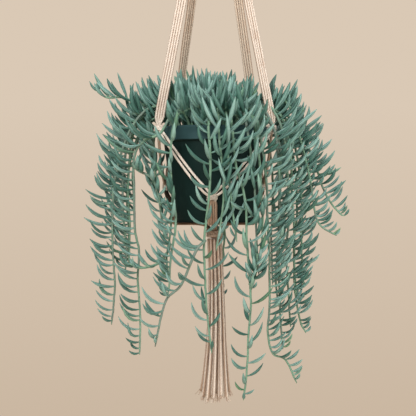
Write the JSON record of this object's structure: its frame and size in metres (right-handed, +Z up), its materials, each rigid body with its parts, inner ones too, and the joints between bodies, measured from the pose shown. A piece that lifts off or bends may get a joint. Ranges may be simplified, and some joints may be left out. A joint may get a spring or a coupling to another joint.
{
  "type": "hanging potted succulent",
  "caption": "Trailing string-of-bananas succulent in a tapered nursery pot, carried by a knotted cotton cord hanger with a tassel and a hanging ring.",
  "frame": {"origin": "point at the inner top of the hanging ring where a hook bears", "axes": "+Z up along the pot's axis; the front of the plant, with the uneven gap between the two front legs, faces -Y; +X to the right seen from the front"},
  "size_m": [0.3607, 0.2343, 0.9082],
  "materials": {
    "ring_steel": "satin",
    "cotton_cord": "matte",
    "pot_plastic": "satin",
    "potting_mix": "matte",
    "foliage": "satin"
  },
  "bodies": {
    "ring": {"hanging_ring": "ring_steel"},
    "basket": {"crown_loops": "cotton_cord", "crown_wrap": "cotton_cord", "leg_front_left": "cotton_cord", "leg_back_left": "cotton_cord", "leg_back_right": "cotton_cord", "leg_front_right": "cotton_cord", "rim_knot_front_left": "cotton_cord", "rim_knot_back_left": "cotton_cord", "rim_knot_back_right": "cotton_cord", "rim_knot_front_right": "cotton_cord", "net_pair_left_front_left": "cotton_cord", "net_pair_left_back_left": "cotton_cord", "net_pair_front_front_left": "cotton_cord", "net_pair_front_front_right": "cotton_cord", "net_pair_right_front_right": "cotton_cord", "net_pair_right_back_right": "cotton_cord", "net_pair_back_back_right": "cotton_cord", "net_pair_back_back_left": "cotton_cord", "lower_knot_left": "cotton_cord", "lower_knot_front": "cotton_cord", "lower_knot_right": "cotton_cord", "lower_knot_back": "cotton_cord", "under_bundle_left": "cotton_cord", "under_bundle_front": "cotton_cord", "under_bundle_right": "cotton_cord", "under_bundle_back": "cotton_cord", "gathering_wrap": "cotton_cord", "tassel_cord_01": "cotton_cord", "tassel_cord_02": "cotton_cord", "tassel_cord_03": "cotton_cord", "tassel_cord_04": "cotton_cord", "tassel_cord_05": "cotton_cord", "tassel_cord_06": "cotton_cord", "tassel_cord_07": "cotton_cord", "tassel_cord_08": "cotton_cord", "tassel_cord_09": "cotton_cord", "tassel_cord_10": "cotton_cord", "tassel_cord_11": "cotton_cord", "tassel_cord_12": "cotton_cord", "tassel_cord_13": "cotton_cord", "tassel_cord_14": "cotton_cord", "tassel_cord_15": "cotton_cord", "tassel_cord_16": "cotton_cord", "pot": "pot_plastic", "potting_mix": "potting_mix", "strand_far_left": "foliage", "strand_left": "foliage", "strand_front_left": "foliage", "strand_front": "foliage", "strand_front_right": "foliage", "strand_right": "foliage", "strand_right_inner": "foliage", "strand_right_outer": "foliage", "strand_far_right": "foliage", "strand_back_left": "foliage", "strand_back": "foliage", "crown_left": "foliage", "crown_middle": "foliage", "crown_right": "foliage"}
  },
  "joints": [
    {"name": "ring_swing", "type": "hinge", "parent": "ring", "child": "basket", "pos_m": [0, 0, -0.0425], "axis": [1, 0, 0], "range_deg": [-25, 25]}
  ]
}
